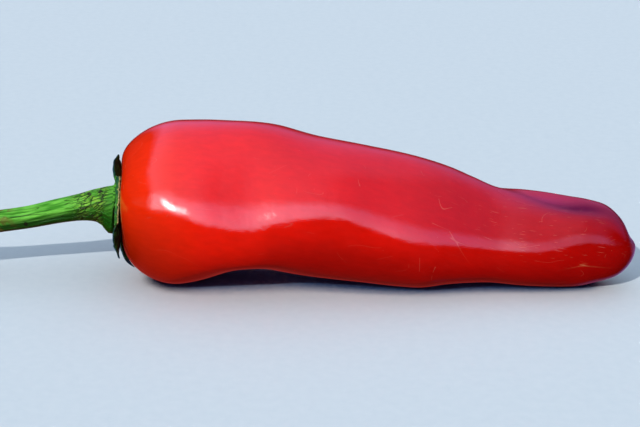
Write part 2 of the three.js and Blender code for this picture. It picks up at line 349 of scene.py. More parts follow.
# The dark notch on the stalk: its distance from the foot, its place round the stalk and its half
# sizes, all in mm.
STALK_NOTCH = (14.7, 3.5, 0.35, 0.55)
NOTCH_BROWN = (0.004, 0.003, 0.001)

# The floor, with a painted contact shadow. Its painted shades depend on how open it is within its
# reach, from 0 to 1. The painted dark line under the shoulder ends between two places along X in mm.
FLOOR_SIZE = 4
FLOOR_REACH = 8 * MM
FLOOR_PALE = ((0.47, 0.53, 0.575), (0.53, 0.58, 0.615))
FLOOR_SHADE = (0.05, 0.13, 0.3)
FLOOR_SHADE_EDGE = (0.18, 0.27)
FLOOR_PAINTED_SHADOW = (0.002, 0.004, 0.025)
FLOOR_PAINTED_SHADOW_EDGE = (0.08, 0.24)
FLOOR_SHADOW_LINE = (0.004, 0.005, 0.025)
FLOOR_SHADOW_LINE_EDGE = (0.21, 0.28)
FLOOR_SHADOW_LINE_END = (-22, -12)

BACKDROP = (0.6, 0.7, 0.79)

# The light for shade: the sky and the fill from below, both by the sine of the height above the
# horizon, and how that fill weakens from the front, at -1, to the back, at 1.
SKY_STOPS = [
    (-0.01, BLACK),
    (0.01, (0.02, 0.03, 0.06)),
    (0.35, (0.02, 0.03, 0.06)),
    (0.5, (0.45, 0.54, 0.65)),
    (0.75, (0.84, 1.0, 1.2)),
]
GROUND_STOPS = [
    (-1, (0.5, 0.5, 0.53)),
    (-0.01, (0.62, 0.62, 0.66)),
    (0.01, BLACK),
]
GROUND_DEPTH_STOPS = [(-0.3, WHITE), (0.4, (0.15, 0.15, 0.18))]

# What the gloss mirrors, by the angle round the X axis: 0 is up, 90 in front and -90 behind. On the
# left these bands are turned by so many degrees per unit of X, up to an X.
BAND_STOPS = [
    (-150, (0.25, 0.012, 0.012)),
    (-112, (0.28, 0.02, 0.02)),
    (-100, (0.02, 0.02, 0.03)),
    (-84, (0.03, 0.03, 0.06)),
    (-70, (0.25, 0.25, 0.7)),
    (-40, (0.3, 0.32, 0.78)),
    (0, (0.6, 0.68, 1.2)),
    (56, (0.75, 0.85, 1.35)),
    (63, (1.4, 1.5, 2.2)),
    (70, (2.7, 2.8, 4.2)),
    (90, (3.2, 3.3, 4.7)),
    (95, (2.7, 2.7, 3.6)),
    (98, (0.03, 0.01, 0.01)),
    (140, (0.05, 0.01, 0.01)),
    (180, (0.18, 0.011, 0.011)),
]
BAND_TURN = 32.0
BAND_TURN_END = 0.3

# How strong the bands are from the left, at -1, to the right, at 1, and how that shifts behind.
SIDE_STOPS = [
    (-0.81, (0.12, 0.1, 0.05)),
    (-0.69, (1.8, 1.8, 1.5)),
    (-0.4, (1.4, 1.35, 1.15)),
    (-0.1, (1.1, 1.1, 1.0)),
    (0.1, WHITE),
    (0.32, (0.5, 0.5, 0.6)),
    (0.7, (0.3, 0.33, 0.5)),
    (0.93, (0.02, 0.02, 0.03)),
]
SIDE_LEAN = -0.5
FAR_RIGHT_BLUE = (0.2, 0.2, 0.6)

# The small bright window that the gloss mirrors: its middle, its half sizes and its lean, all on a
# dome of radius 1, how square it is, and its strength.
GLINT_X = -0.29
GLINT_Z = 0.1
GLINT_WIDE = 0.19
GLINT_TALL = 0.085
GLINT_LEAN = 0.4
GLINT_POWER = 4.0
GLINT_STRENGTH = 38

# The key light: where it shines from, its strength, its width in degrees and its colour.
KEY_DIRECTION = (-0.345, -0.74, 0.578)
KEY_ENERGY = 3.1
KEY_WIDTH = 1.2
KEY_COLOUR = (1, 0.96, 0.9)

# The camera, at the photograph's angle.
CAMERA_TARGET = Vector((4.74 * MM, 0.0, 11.93 * MM))
CAMERA_DISTANCE = 294 * MM
CAMERA_ELEVATION = 20
CAMERA_ROLL = 1.1
CAMERA_LENS = 100


def rows_at(rows, places):
    """The columns, at each place, of a smooth curve through rows sorted by their first number."""
    last = len(rows) - 1
    i = np.clip(np.searchsorted(rows[:, 0], places, side="right") - 1, 0, last - 1)
    a, b = rows[i], rows[i + 1]
    before, beyond = rows[np.maximum(i - 1, 0)], rows[np.minimum(i + 2, last)]
    span = b[:, :1] - a[:, :1]
    t = (np.asarray(places)[:, None] - a[:, :1]) / span
    slope_a = (b - before) / (b[:, :1] - before[:, :1]) * span
    slope_b = (beyond - a) / (beyond[:, :1] - a[:, :1]) * span
    rise = b - a
    return (
        a + slope_a * t + (3 * rise - 2 * slope_a - slope_b) * t**2
        + (slope_a + slope_b - 2 * rise) * t**3
    ).T


def turn(a, b):
    """The difference of two angles in degrees, from -180 to 180."""
    return (a - b + 180) % 360 - 180


def hill(distance):
    """A smooth hill that is 1 at 0 and has faded at 2 or so."""
    return np.exp(-distance * distance / 2)


def pressed(z):
    """Height above the surface of points at height z, with what would sink in pressed flat."""
    rim = np.clip(z, -REST_RIM, REST_RIM)
    return np.where(z < REST_RIM, (rim + REST_RIM) ** 2 / (4 * REST_RIM), z)


def shoulder_swell(x, share, angle):
    """How far the shoulder swells towards the stalk, at places on the shoulder's cap."""
    fade = np.maximum(1 - x / SHOULDER_CAP, 0) ** 2
    lobes = SHOULDER_LOBE * share * np.cos(SHOULDER_LOBES * np.radians(angle - SHOULDER_CREST))
    beside = hill(turn(angle, SHOULDER_HUMP_ANGLE) / SHOULDER_HUMP_WIDTH)
    hump = SHOULDER_HUMP * beside * hill((share - SHOULDER_HUMP_SHARE) / SHOULDER_HUMP_SPREAD)
    return fade * (lobes + hump - SHOULDER_DISH * hill(share / SHOULDER_DISH_SPREAD))


def tip_dent(x, share, angle):
    """How far the blossom end is pushed in along X at places on the tip's cap."""
    fade = np.clip((x - POD_LENGTH + TIP_CAP) / TIP_CAP, 0, 1)
    beside = hill(turn(angle, TIP_DENT_ANGLE) / TIP_DENT_WIDTH)
    ring = hill((share - TIP_DENT_SHARE) / TIP_DENT_SPREAD) * (1 - hill(share / TIP_POINT_SPREAD))
    return TIP_DENT * fade * beside * ring


def groove(x, angle, around):
    """How deep the groove is at places on the skin, from 0 to 1."""
    end = x / MM - GROOVE_AT
    middle = GROOVE_ANGLE + GROOVE_TURN * end
    side = np.radians(turn(angle, middle)) * around / MM
    return hill(end / GROOVE_LONG) * hill(side / GROOVE_WIDE)


def pod_surface(x, share, angle):
    """Points of the pod's skin, in the pod's own frame, and the section's radius there.
    x is the distance from the stalk end, and share is the share of the section's radius."""
    _, radius, height, side, lobe, crest = rows_at(POD_STATIONS, x / POD_LENGTH)
    wave = np.cos(POD_LOBES * np.radians(angle - crest))
    around = radius * POD_RADIUS * (1 + lobe * wave)
    reach = around * share
    for at, centre, rise, along, wide in POD_BUMPS:
        off_side = np.radians(turn(angle, centre)) * around / (wide * MM)
        off_end = (x - at * MM) / (along * MM)
        reach = reach + share * rise * MM * hill(off_end) * hill(off_side)
    reach = reach - share * GROOVE_DEPTH * MM * groove(x, angle, around)
    turned = np.radians(angle)
    y = side * POD_RADIUS - reach * np.sin(turned)
    z = height * POD_RADIUS + reach * np.cos(turned) - PRESSED
    along = x - shoulder_swell(x, share, angle) - tip_dent(x, share, angle)
    points = np.stack([along, y, pressed(z)], axis=-1)
    return points, around


def scar_share(x, angle, around):
    """How pale the star-shaped scar at the blossom end is at places on the skin, from 0 to 1."""
    up = np.radians(turn(angle, SCAR_ANGLE)) * around / MM
    across = x / MM - SCAR_AT
    distance = np.hypot(across, up)
    bearing = np.degrees(np.arctan2(up, across))
    share = np.zeros_like(x)
    for way, length, strength in SCAR_RAYS:
        off = distance * np.sin(np.radians(np.clip(np.abs(turn(bearing, way)), 0, 90)))
        share = np.maximum(share, strength * hill(off / SCAR_RAY_WIDTH) * hill(distance / length))
    return share


def patch_share(patch, x, angle, around):
    """How strong a patch, such as the groove's painted reflection, is at places on the skin, from 0
    to 1.
    """
    at, centre, long, wide = patch
    side = np.radians(turn(angle, centre)) * around / MM
    return hill((x / MM - at) / long) * hill(side / wide)


def pod_rings():
    """The pod's rings: place along it and share of the section's radius there."""
    rings = [(0.0, SHOULDER_FLAT * i / POD_DISC_STEPS) for i in range(POD_DISC_STEPS + 1)]
    for i in range(1, POD_CAP_STEPS + 1):
        a = math.pi / 2 * i / POD_CAP_STEPS
        share = SHOULDER_FLAT + (1 - SHOULDER_FLAT) * math.sin(a)
        rings.append((SHOULDER_CAP * (1 - math.cos(a)), share))
    for i in range(1, POD_BODY_STEPS + 1):
        body = POD_LENGTH - SHOULDER_CAP - TIP_CAP
        rings.append((SHOULDER_CAP + body * i / POD_BODY_STEPS, 1.0))
    for i in range(1, POD_CAP_STEPS + 1):
        a = math.pi / 2 * i / POD_CAP_STEPS
        rings.append((POD_LENGTH - TIP_CAP * (1 - math.sin(a)), math.cos(a)))
    return np.array(rings)


def skin_faces(rings, sides):
    """Faces of a closed skin whose first and last rings are single points."""
    starts = [0] + [1 + sides * r for r in range(rings - 1)]
    faces = []
    for s in range(sides):
        faces.append((0, 1 + s, 1 + (s + 1) % sides))
    for r in range(1, rings - 2):
        for s in range(sides):
            t = (s + 1) % sides
            faces.append((starts[r] + s, starts[r + 1] + s, starts[r + 1] + t, starts[r] + t))
    for s in range(sides):
        faces.append((starts[rings - 2] + s, starts[rings - 1], starts[rings - 2] + (s + 1) % sides))
    return faces


def closed_mesh(name, points, attributes):
    """A smooth closed mesh from points[ring, side], whose first and last rings meet in a point.
    attributes maps a name to a number for each ring and side."""
    rings, sides = points.shape[:2]

    def flat(values):
        inner = values[1:-1].reshape((rings - 2) * sides, *values.shape[2:])
        return np.concatenate([values[:1, 0], inner, values[-1:, 0]])

    mesh = bpy.data.meshes.new(name)
    mesh.from_pydata(flat(points).tolist(), [], skin_faces(rings, sides))
    mesh.polygons.foreach_set("use_smooth", [True] * len(mesh.polygons))
    for key, values in attributes.items():
        layer = mesh.attributes.new(key, "FLOAT", "POINT")
        layer.data.foreach_set("value", flat(values).astype(np.float32))
    mesh.update()
    piece = bpy.data.objects.new(name, mesh)
    bpy.context.scene.collection.objects.link(piece)
    return piece


def grid(rings, sides):
    """Ring numbers and angles of a grid of so many rings and sides."""
    angles = np.arange(sides) * 360 / sides
    return np.meshgrid(np.arange(rings), angles, indexing="ij")


def make_pod():
    """The pod's skin, from the shoulder's middle to the blossom end."""
    rings = pod_rings()
    index, angle = grid(len(rings), POD_SIDES)
    x = rings[index, 0]
    share = rings[index, 1]
    points, around = pod_surface(x.ravel(), share.ravel(), angle.ravel())
    points = points.reshape(*x.shape, 3) + np.array([SHOULDER_X, SHOULDER_Y, 0.0])
    facing = turn(angle, 0)
    around = around.reshape(x.shape)
    looks = {
        "along": x / MM,
        "around": np.radians(facing) * around / MM,
        "facing": facing,
        "painted_groove_reflection": patch_share(GROOVE_REFLECTION, x, angle, around),
        "groove_dark_patch": patch_share(GROOVE_DARK_PATCH, x, angle, around),
        "scar": scar_share(x, angle, around),
    }
    return closed_mesh("pod_skin", points, looks)


def shoulder_x(y, z):
    """Where the shoulder's skin is along X, behind points at y and z of the pod's own frame."""
    up = z - POD_STATIONS[0][2] * POD_RADIUS
    share = np.hypot(y, up) / POD_RADIUS
    over = np.maximum(share - SHOULDER_FLAT, 0) / (1 - SHOULDER_FLAT)
    x = SHOULDER_CAP * (1 - np.sqrt(1 - over * over))
    return x - shoulder_swell(x, share, np.degrees(np.arctan2(-y, up)))


def calyx_reach(angle):
    """How far the calyx reaches at angles."""
    reach = np.full_like(angle, CALYX_NOTCH)
    for centre, length, width in CALYX_TEETH:
        share = np.maximum(1 - np.abs(turn(angle, centre)) / width, 0) ** CALYX_TOOTH_POWER
        reach = np.maximum(reach, CALYX_NOTCH + (length - CALYX_NOTCH) * share)
    return reach * CALYX_RADIUS + CALYX_RAGGED * ragged(angle, 1)


def calyx_lift(share, angle):
    """How far the calyx stands off the pod at a share of the way out to its edge."""
    lift = CALYX_RAGGED * np.maximum(ragged(angle, 2), RAGGED_LOWEST) * share**RAGGED_POWER
    for centre, rise, width, power in CALYX_CURLS:
        lift = lift + rise * MM * hill(turn(angle, centre) / width) * share**power
    return lift


def calyx_flesh(angle):
    """1 where the calyx is fleshy and 0 where it is as thin as paper."""
    off = np.maximum(np.abs(turn(angle, CALYX_FLESHY_ANGLE)) - CALYX_FLESHY_WIDTH, 0)
    return hill(off / CALYX_FLESHY_FADE)


def ragged(angle, seed):
    """A jagged line round the calyx: waves of random height and phase, mostly short ones."""
    draw = np.random.default_rng(seed)
    line = np.zeros_like(angle)
    for waves in RAGGED_WAVES:
        phase = draw.uniform(0, 360)
        size = draw.uniform(*RAGGED_SIZES)
        line = line + size * np.sin(np.radians(waves * angle + phase))
    return line * np.abs(line) / len(RAGGED_WAVES)


def calyx_surface(share, angle, depth):
    """Points of the calyx at a share of the way out to its edge. depth is 0 on the side that
    faces the pod and 1 on the side that faces the stalk."""
    radius = share * calyx_reach(angle)
    y = -radius * np.sin(np.radians(angle))
    z = POD_STATIONS[0][2] * POD_RADIUS - CALYX_DROP + radius * np.cos(np.radians(angle))
    inner = shoulder_x(y, z) - PIECE_GAP - calyx_lift(share, angle)
    edge = CALYX_TOOTH_EDGE + (CALYX_EDGE - CALYX_TOOTH_EDGE) * calyx_flesh(angle)
    thickness = edge + (CALYX_MIDDLE - edge) * (1 - share * share)
    return np.stack([inner - depth * thickness, y, z], axis=-1)


def make_calyx():
    """The calyx, from the middle of its outer side over its edge to the middle of its inner one."""
    index, angle = grid(2 * (CALYX_STEPS + 1), CALYX_SIDES)
    outer = index <= CALYX_STEPS
    share = np.where(outer, index, 2 * CALYX_STEPS + 1 - index) / CALYX_STEPS
    points = calyx_surface(share, angle, outer.astype(float))
    points = points + np.array([SHOULDER_X, SHOULDER_Y, 0.0])
    looks = {
        "outer": outer.astype(float),
        "rim": (index == CALYX_STEPS + 1) * calyx_flesh(angle),
        "flesh": calyx_flesh(angle),
        "reach": share * calyx_reach(angle) / CALYX_RADIUS,
    }
    return closed_mesh("calyx_sepals", points, looks)


def stalk_middle(share):
    """The stalk's middle line at shares of its length from the foot."""
    _, _, height, side = rows_at(STALK_STATIONS, share)
    return np.stack([-share * STALK_LENGTH, side * MM, height * MM], axis=-1)


def stalk_frame(shares):
    """The directions across and up at shares of the stalk's length, both square to its line."""
    ahead = stalk_middle(np.minimum(shares + STALK_STEP, 1))
    ahead = ahead - stalk_middle(np.maximum(shares - STALK_STEP, 0))
    ahead[shares == 0] = (-1, 0, 0)
    along = ahead / np.linalg.norm(ahead, axis=1, keepdims=True)
    across = np.cross((0, 0, 1), along)
    across /= np.linalg.norm(across, axis=1, keepdims=True)
    return across, np.cross(along, across)


def stalk_wrinkles(shares, angle):
    """How the stalk's surface stands in or out, as a share of its radius: ridges and wrinkles that
    run along it and wander."""
    turned = np.radians(angle)
    line = STALK_RIDGE * np.cos(STALK_RIDGES * turned)
    draw = np.random.default_rng(STALK_SEED)
    for waves in STALK_WAVES:
        phase = draw.uniform(0, FULL_TURN)
        drift = draw.uniform(-STALK_DRIFT, STALK_DRIFT)
        size = draw.uniform(*STALK_SIZES)
        wander = np.sin(drift * 2 * shares + phase)
        line = line + STALK_WRINKLE * size * np.sin(waves * turned + drift * shares + wander + phase)
    return line


def make_stalk():
    """The stalk, from its cut end to its foot on the calyx."""
    body = (np.arange(STALK_STEPS, -1, -1) / STALK_STEPS) ** STALK_CROWDING * STALK_BEVEL_START
    shares = np.concatenate([[1.0, 1.0], body, [0.0]])
    scale = np.concatenate([[0.0, STALK_BEVEL], np.ones(STALK_STEPS + 1), [0.0]])
    middle = stalk_middle(shares)
    across, up = stalk_frame(shares)
    radius = rows_at(STALK_STATIONS, shares)[1] * STALK_RADIUS * scale
    index, angle = grid(len(shares), STALK_SIDES)
    turned = np.radians(angle)[..., None]
    ridged = radius[index] * (1 + stalk_wrinkles(shares[index], angle))
    outward = up[index] * np.cos(turned) + across[index] * np.sin(turned)
    foot = SHOULDER_X - 2 * PIECE_GAP - CALYX_MIDDLE
    points = middle[index] + ridged[..., None] * outward + np.array([foot, SHOULDER_Y, 0.0])
    looks = {
        "along": shares[index] * STALK_LENGTH / MM,
        "around": np.radians(turn(angle, 0)) * radius[index] / MM,
        "facing": turn(angle, 0),
    }
    return closed_mesh("stalk_rind", points, looks)


def new_material(name):
    """A material, its node tree and its principled shader."""
    material = bpy.data.materials.new(name)
    material.use_nodes = True
    return material, material.node_tree, material.node_tree.nodes["Principled BSDF"]


def is_output(value):
    """True for another node's output, and false for a number or a colour."""
    return isinstance(value, bpy.types.NodeSocket)


def plug(tree, socket, value):
    """Sets a socket to a number or a vector, or links another node's output to it."""
    if is_output(value):
        tree.links.new(value, socket)
    else:
        socket.default_value = value


def math_node(tree, operation, *values):
    """The output of a math node whose inputs are numbers or other nodes' outputs."""
    node = tree.nodes.new("ShaderNodeMath")
    node.operation = operation
    for socket, value in zip(node.inputs, values):
        plug(tree, socket, value)
    return node.outputs[0]


def product(tree, first, *others):
    """The product of numbers and other nodes' outputs."""
    for other in others:
        first = math_node(tree, "MULTIPLY", first, other)
    return first


def scaled(tree, value, scale, shift):
    """A value times scale, plus shift."""
    return math_node(tree, "MULTIPLY_ADD", value, scale, shift)


def larger(tree, a, b):
    """The larger one of two values."""
    return math_node(tree, "MAXIMUM", a, b)


def size_of(tree, value):
    """A value without its sign."""
    return math_node(tree, "ABSOLUTE", value)


def mix(tree, kind, share, a, b):
    """A share of the way from the colour a to its mix of a kind with the colour b."""
    node = tree.nodes.new("ShaderNodeMix")
    node.data_type = "RGBA"
    node.blend_type = kind
    plug(tree, node.inputs[0], share)
    for socket, value in ((node.inputs[6], a), (node.inputs[7], b)):
        plug(tree, socket, value if is_output(value) else (*value, 1))
    return node.outputs[2]


def blend(tree, share, low, high):
    """From the colour low, where share is 0, to the colour high, where it is 1."""
    return mix(tree, "MIX", share, low, high)


def times(tree, a, b):
    """The product of two colours."""
    return mix(tree, "MULTIPLY", 1, a, b)


def vector_node(tree, operation, *values):
    """A vector math node whose inputs are vectors or other nodes' outputs."""
    node = tree.nodes.new("ShaderNodeVectorMath")
    node.operation = operation
    for socket, value in zip(node.inputs, values):
        plug(tree, socket, value)
    return node


def add(tree, a, b):
    """The sum of two colours or vectors."""
    return vector_node(tree, "ADD", a, b).outputs[0]


def step_up(tree, value, low, high):
    """0 where a value is under low, 1 where it is over high, and smooth between."""
    node = tree.nodes.new("ShaderNodeMapRange")
    node.interpolation_type = "SMOOTHSTEP"
    node.inputs["From Min"].default_value = low
    node.inputs["From Max"].default_value = high
    tree.links.new(value, node.inputs["Value"])
    return node.outputs["Result"]


def fades(tree, value, low, high):
    """1 where a value is under low, 0 where it is over high, and smooth between."""
    return math_node(tree, "SUBTRACT", 1.0, step_up(tree, value, low, high))


def between(tree, value, rise, fall):
    """1 where a value is past both numbers of rise and under both of fall, and smooth between."""
    return product(tree, step_up(tree, value, *rise), fades(tree, value, *fall))


def spread(tree, value, low, high):
    """A value from 0 to 1 as one from low to high."""
    return scaled(tree, value, high - low, low)


def ramp(tree, value, low, high, *stops):
    """A colour ramp over a value that runs from low to high. A stop is a value and a colour."""
    node = tree.nodes.new("ShaderNodeValToRGB")
    elements = node.color_ramp.elements
    while len(elements) < len(stops):
        elements.new(0.5)
    for element, (place, colour) in zip(elements, stops):
        element.position = (place - low) / (high - low)
        element.color = (*colour, 1)
    share = scaled(tree, value, 1 / (high - low), -low / (high - low))
    tree.links.new(share, node.inputs["Fac"])
    return node.outputs["Color"]


def attribute(tree, name):
    """One of the numbers that closed_mesh keeps for each point."""
    node = tree.nodes.new("ShaderNodeAttribute")
    node.attribute_name = name
    return node.outputs["Fac"]


def vector(tree, x, y, z=0.0):
    """A vector of three numbers or other nodes' outputs."""
    node = tree.nodes.new("ShaderNodeCombineXYZ")
    for socket, value in zip(node.inputs, (x, y, z)):
        plug(tree, socket, value)
    return node.outputs[0]


def grey(tree, value):
    """The grey of a value."""
    return vector(tree, value, value, value)


def parts_of(tree, place):
    """The x, y and z of a place."""
    node = tree.nodes.new("ShaderNodeSeparateXYZ")
    tree.links.new(place, node.inputs[0])
    return tuple(node.outputs)


def red_of(tree, colour):
    """The red of a colour."""
    node = tree.nodes.new("ShaderNodeSeparateColor")
    tree.links.new(colour, node.inputs[0])
    return node.outputs[0]


def skin_place(tree, along_scale, around_scale, shift=0.0):
    """A place on an unrolled skin: its attributes along and around, in mm, each scaled."""
    along = scaled(tree, attribute(tree, "along"), along_scale, shift)
    around = scaled(tree, attribute(tree, "around"), around_scale, shift)
    return vector(tree, along, around)


def object_place(tree):
    """The place in the part's own space, in mm."""
    node = vector_node(tree, "SCALE", tree.nodes.new("ShaderNodeTexCoord").outputs["Object"])
    node.inputs["Scale"].default_value = 1 / MM
    return node.outputs[0]


def noise(tree, place, scale, detail):
    """Soft noise from 0 to 1 with so many waves per unit of place."""
    node = tree.nodes.new("ShaderNodeTexNoise")
    node.inputs["Scale"].default_value = scale
    node.inputs["Detail"].default_value = detail
    tree.links.new(place, node.inputs["Vector"])
    return node.outputs["Fac"]


def cells(tree, place, feature="F1"):
    """A pattern with a cell for each unit of place: the distance from each cell's middle, or from
    its edge, and its random colour."""
    node = tree.nodes.new("ShaderNodeTexVoronoi")
    node.feature = feature
    node.inputs["Scale"].default_value = 1
    tree.links.new(place, node.inputs["Vector"])
    return node.outputs["Distance"], node.outputs.get("Color")


def dashes(tree, place, radius, kept):
    """1 on short strokes, one in the middle of each of the cells that are kept, a share of all."""
    distance, colour = cells(tree, place)
    chosen = math_node(tree, "LESS_THAN", red_of(tree, colour), kept)
    return product(tree, fades(tree, distance, radius * 0.5, radius), chosen)


def dot_at(tree, along, around, half_long, half_wide):
    """1 in a spot on an unrolled skin, with its middle and its half sizes in mm."""
    place = skin_place(tree, 1 / half_long, 1 / half_wide)
    middle = vector(tree, -along / half_long, -around / half_wide)
    distance = vector_node(tree, "LENGTH", add(tree, place, middle)).outputs["Value"]
    return fades(tree, distance, 0.6, 1.1)


def hairlines(tree, place, width, cut):
    """1 on thin curved lines, contours of a noise, with parts left out by a second one."""
    level = noise(tree, place, 1, 0)
    off = size_of(tree, math_node(tree, "SUBTRACT", level, HAIRLINE_LEVEL))
    part = step_up(tree, noise(tree, place, HAIRLINE_GAPS, 0), cut, cut + HAIRLINE_END)
    return product(tree, fades(tree, off, width * 0.4, width), part)


def bump(tree, shader, height, strength, distance):
    """Links a height to the shader as bump of so many metres."""
    node = tree.nodes.new("ShaderNodeBump")
    node.inputs["Strength"].default_value = strength
    node.inputs["Distance"].default_value = distance
    tree.links.new(height, node.inputs["Height"])
    tree.links.new(node.outputs["Normal"], shader.inputs["Normal"])


def skin_red_with_painted_shade(tree, place, along, facing):
    """The skin's red, mottled, with painted shade that darkens it on the front of the tip half, low
    down at the shoulder and low down at the waist."""
    colour = ramp(tree, along, 0, POD_LENGTH / MM, *SKIN_REDS)
    mottle = spread(tree, noise(tree, place, 0.11, 3), *SKIN_MOTTLE)
    grain = spread(tree, noise(tree, skin_place(tree, 0.5, 1.1), 1, 4), *SKIN_MOTTLE)
    colour = times(tree, colour, grey(tree, product(tree, mottle, grain)))
    # Painted shade: the front of the tip half, the shoulder low down and the waist low down are made
    # darker.
    front = between(tree, facing, (0, 35), (66, 84))
    tip_half = spread(tree, step_up(tree, along, 18, 60), *TIP_SHADE)
    low = between(tree, facing, (60, 120), (150, 178))
    lower = between(tree, facing, (84, 112), (150, 178))
    waist = between(tree, along, (18, 34), (42, 58))
    for shade in (
        product(tree, front, tip_half),
        product(tree, low, fades(tree, along, 3, 14), SHOULDER_SHADE),
        product(tree, lower, waist, WAIST_SHADE),
    ):
        colour = blend(tree, shade, colour, BLACK)
    return colour


def skin_marks(tree, along, facing):
    """How pale the marks on the skin are: fine strokes on top of the tip half, and fainter
    scratches and specks all over, except where it lies."""
    strokes = larger(
        tree,
        dashes(tree, skin_place(tree, 0.17, 3.4), 0.17, 0.4),
        dashes(tree, skin_place(tree, 0.4, 6.5, 11.0), 0.17, 0.4),
    )
    upper = between(tree, facing, (0, 15), (75, 110))
    strokes = product(tree, strokes, upper, step_up(tree, along, 50, 64))
    long = hairlines(tree, skin_place(tree, 0.1, 0.16, 3.0), 0.002, 0.6)
    short = hairlines(tree, skin_place(tree, 0.16, 0.3, 14.0), 0.003, 0.62)
    specks = dashes(tree, skin_place(tree, 0.8, 0.9, 7.0), 0.07, 0.15)
    clear = fades(tree, size_of(tree, facing), 160, 172)
    hairs = product(tree, larger(tree, larger(tree, long, short), specks), clear, HAIR_STRENGTH)
    return product(tree, larger(tree, strokes, hairs), MARK_STRENGTH)


def skin_material():
    """Ripe red skin: orange-red at the shoulder and darker to the tip, lightly scratched, with
    painted shade, a pale purple painted reflection in the groove and a dark patch with a painted
    purple reflection at its end, and a pale star-shaped scar at the blossom end."""
    material, tree, shader = new_material("skin")
    place = object_place(tree)
    along = attribute(tree, "along")
    facing = attribute(tree, "facing")
    painted_groove_reflection = attribute(tree, "painted_groove_reflection")
    groove_dark_patch = attribute(tree, "groove_dark_patch")
    marks = skin_marks(tree, along, facing)
    colour = skin_red_with_painted_shade(tree, place, along, facing)
    # Painted reflection: the groove's pale purple patch, and the purple of the dark patch at its end.
    colour = blend(tree, product(tree, painted_groove_reflection, GROOVE_REFLECTION_STRENGTH), colour, GROOVE_REFLECTION_PINK)
    colour = blend(tree, groove_dark_patch, colour, GROOVE_DARK_PURPLE)
    colour = blend(tree, marks, colour, MARK_PINK)
    colour = blend(tree, attribute(tree, "scar"), colour, SCAR_TAN)
    tree.links.new(colour, shader.inputs["Base Color"])
    # Less gloss where the groove's reflection and its dark patch are painted.
    matt = larger(tree, groove_dark_patch, painted_groove_reflection)
    rough = scaled(tree, matt, 0.45, spread(tree, noise(tree, place, 0.35, 3), *SKIN_ROUGH))
    tree.links.new(rough, shader.inputs["Roughness"])
    gloss = ramp(tree, along, 0, POD_LENGTH / MM, *SKIN_GLOSS)
    gloss = times(tree, gloss, grey(tree, scaled(tree, matt, -0.75, 1.0)))
    tree.links.new(gloss, shader.inputs["Specular IOR Level"])
    peel = scaled(tree, noise(tree, place, 4.5, 1), 0.5, noise(tree, place, 1.6, 3))
    height = scaled(tree, noise(tree, place, 0.3, 2), 5.0, peel)
    height = scaled(tree, marks, 1.2, height)
    bump(tree, shader, height, 0.65, SKIN_BUMP)
    return material


def calyx_material():
    """Dark olive painted shade on the side that faces the pod. Green on the other side, turning to a
    dusky blue painted shade towards the teeth's tips, with navy painted shade towards the tips of the
    longest teeth and a thin cream rim where the calyx is fleshy."""
    material, tree, shader = new_material("calyx")
    place = object_place(tree)
    reach = attribute(tree, "reach")
    outside = step_up(tree, attribute(tree, "outer"), 0.15, 0.35)
    blotch = noise(tree, place, 0.9, 4)
    green = blend(tree, step_up(tree, blotch, 0.35, 0.65), *CALYX_GREENS)
    # Painted shade: olive on the side that faces the pod, dusky blue towards the teeth's tips, navy
    # at the longest teeth's tips.
    olive = blend(tree, step_up(tree, blotch, 0.4, 0.65), *CALYX_SHADE_OLIVES)
    dusk = blend(tree, blotch, *CALYX_SHADE_BLUES)
    outward = scaled(tree, attribute(tree, "flesh"), -0.24, reach)
    green = blend(tree, step_up(tree, outward, 0.72, 0.86), green, dusk)
    colour = blend(tree, outside, olive, green)
    colour = blend(tree, step_up(tree, reach, 1.3, 1.45), colour, CALYX_SHADE_NAVY)
    rim = step_up(tree, attribute(tree, "rim"), 0.62, 0.8)
    kept = step_up(tree, noise(tree, place, 1.6, 3), 0.3, 0.42)
    colour = blend(tree, product(tree, rim, kept), colour, CALYX_CREAM)
    tree.links.new(colour, shader.inputs["Base Color"])
    tree.links.new(spread(tree, blotch, *CALYX_ROUGH), shader.inputs["Roughness"])
    shader.inputs["Specular IOR Level"].default_value = DULL
    bump(tree, shader, noise(tree, place, 2.5, 4), 0.6, CALYX_BUMP)
    return material


def stalk_green_with_painted_shade(tree, streak, along, below):
    """The stalk's green in streaks, with painted shade below and round its flared foot."""
    colour = blend(tree, step_up(tree, streak, 0.35, 0.65), *STALK_GREENS)
    # Painted shade below and round the flared foot.
    colour = blend(tree, product(tree, below, STALK_SHADE), colour, STALK_SHADE_GREEN)
    away = step_up(tree, size_of(tree, attribute(tree, "facing")), 15, 70)
    flare = product(tree, fades(tree, along, 1.2, 5.0), away, FLARE_SHADE)
    return blend(tree, flare, colour, FLARE_SHADE_GREEN)


def stalk_net(tree, place, along):
    """The net towards the stalk's foot: how much of a crack and how much of a scale there is."""
    foot = between(tree, along, (0.8, 2.0), (4.5, 8.0))
    patch = product(tree, step_up(tree, noise(tree, place, 0.5, 2), 0.34, 0.46), foot)
    bend = product(tree, noise(tree, place, 1.3, 3), NET_BEND)
    net = add(tree, skin_place(tree, *NET_CELLS), vector(tree, bend, bend))
    distance, _ = cells(tree, net, "DISTANCE_TO_EDGE")
    broken = step_up(tree, noise(tree, place, 2.2, 2), 0.3, 0.42)
    crack = product(tree, fades(tree, distance, *CRACK_EDGE), patch, broken)
    scale = product(tree, step_up(tree, distance, *SCALE_EDGE), patch)
    return crack, scale


